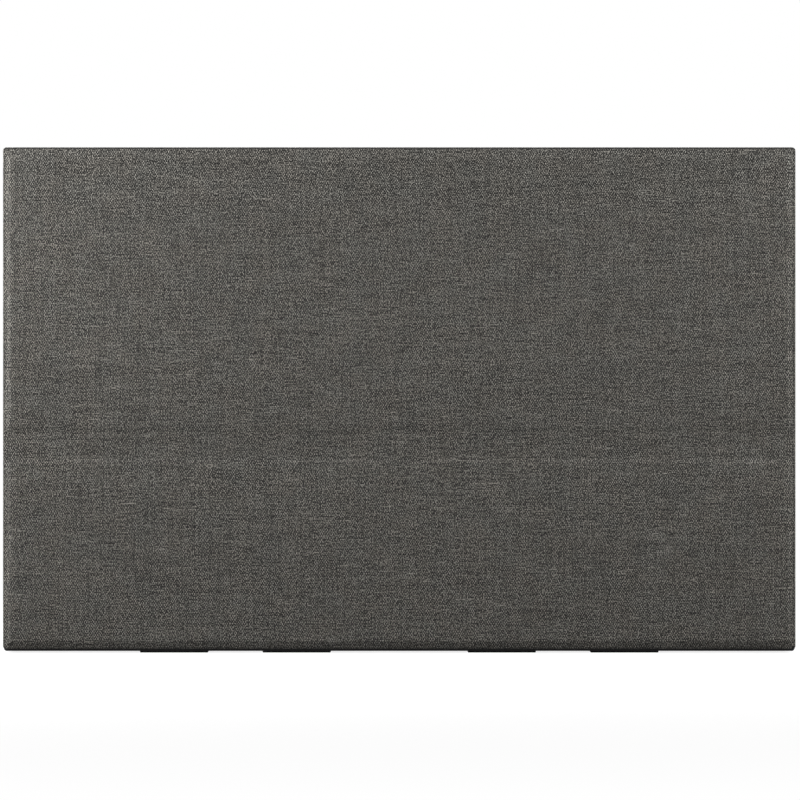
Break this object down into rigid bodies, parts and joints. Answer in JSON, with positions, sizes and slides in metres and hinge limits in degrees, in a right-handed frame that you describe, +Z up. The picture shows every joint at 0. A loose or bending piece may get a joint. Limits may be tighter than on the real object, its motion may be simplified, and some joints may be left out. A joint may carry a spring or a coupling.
{
  "type": "portable monitor with cover",
  "caption": "Slim upright portable monitor with a folding heather-grey fabric cover hinged over its top edge, a swing-out rear stand, side ports and rubber feet.",
  "frame": {"origin": "middle of the underside: the plane of the feet's soles, midway across the width and the overall depth", "axes": "+X to the right seen from the front, +Y from the covered front to the back, +Z up"},
  "size_m": [0.355, 0.0168, 0.2265],
  "materials": {
    "cover_fabric": "matte",
    "cover_lining": "matte",
    "cover_stiffener": "matte",
    "magnet_metal": "satin",
    "housing_plastic": "matte",
    "bezel_plastic": "satin",
    "screen_glass": "satin",
    "optical_plastic": "gloss",
    "panel_plastic": "matte",
    "tray_metal": "satin",
    "foam": "matte",
    "board_laminate": "satin",
    "chip_plastic": "satin",
    "plated_steel": "satin",
    "contact_plastic": "satin",
    "flex_film": "satin",
    "speaker_plastic": "matte",
    "foot_rubber": "matte",
    "stand_paint": "satin",
    "key_plastic": "satin"
  },
  "bodies": {
    "display": {"rear_housing": "housing_plastic", "front_bezel": "bezel_plastic", "lcd_cell": "screen_glass", "optical_films": "optical_plastic", "light_guide": "optical_plastic", "reflector_sheet": "panel_plastic", "led_bar": "panel_plastic", "panel_frame": "panel_plastic", "panel_tray": "tray_metal", "panel_pads": "foam", "driver_board": "board_laminate", "panel_ribbon": "flex_film", "key_ribbon": "flex_film", "main_board": "board_laminate", "board_chips": "chip_plastic", "board_screws": "plated_steel", "usb_c_shells": "plated_steel", "usb_c_tongues": "contact_plastic", "mini_hdmi_shells": "plated_steel", "mini_hdmi_tongues": "contact_plastic", "audio_jack": "contact_plastic", "button_board": "board_laminate", "button_switches": "plated_steel", "speaker_left": "speaker_plastic", "speaker_right": "speaker_plastic", "speaker_leads": "contact_plastic", "lead_plug": "panel_plastic", "magnet_keepers": "magnet_metal", "foot_1": "foot_rubber", "foot_2": "foot_rubber", "foot_3": "foot_rubber", "foot_4": "foot_rubber", "hinge_bracket_left": "plated_steel", "hinge_bracket_right": "plated_steel", "hinge_screws": "plated_steel", "rocker_pin": "plated_steel", "spine_fabric": "cover_fabric", "spine_lining": "cover_lining", "flap_board": "cover_stiffener"},
    "stand": {"stand_plate": "stand_paint", "hinge_shaft_left": "plated_steel", "hinge_shaft_right": "plated_steel", "stand_grip": "foot_rubber"},
    "cover_upper": {"upper_fabric": "cover_fabric", "upper_board": "cover_stiffener", "upper_lining": "cover_lining"},
    "cover_fold": {"fold_fabric": "cover_fabric", "fold_lining": "cover_lining"},
    "cover_lower": {"lower_fabric": "cover_fabric", "lower_board": "cover_stiffener", "lower_lining": "cover_lining", "lower_magnets": "magnet_metal"},
    "power_button": {"power_button": "key_plastic"},
    "menu_rocker": {"menu_rocker": "key_plastic"}
  },
  "joints": [
    {"name": "cover_hinge", "type": "hinge", "parent": "display", "child": "cover_upper", "pos_m": [0, -0.00655, 0.2258], "axis": [-1, 0, 0], "range_deg": [0, 180]},
    {"name": "fold_upper_crease", "type": "hinge", "parent": "cover_upper", "child": "cover_fold", "pos_m": [0, -0.00655, 0.098], "axis": [-1, 0, 0], "range_deg": [0, 84]},
    {"name": "fold_lower_crease", "type": "hinge", "parent": "cover_fold", "child": "cover_lower", "pos_m": [0, -0.00655, 0.0879], "axis": [-1, 0, 0], "range_deg": [0, 84]},
    {"name": "stand_hinge", "type": "hinge", "parent": "display", "child": "stand", "pos_m": [0, 0.00585, 0.092], "axis": [1, 0, 0], "range_deg": [0, 60]},
    {"name": "power_button_press", "type": "slide", "parent": "display", "child": "power_button", "axis": [-1, 0, 0], "range_m": [0, 0.0005], "stiffness_N_per_m": 600},
    {"name": "menu_rocker_tilt", "type": "hinge", "parent": "display", "child": "menu_rocker", "pos_m": [0.1737, 0.00145, 0.05], "axis": [0, 1, 0], "range_deg": [-2.5, 2.5], "stiffness_Nm_per_rad": 0.08}
  ]
}
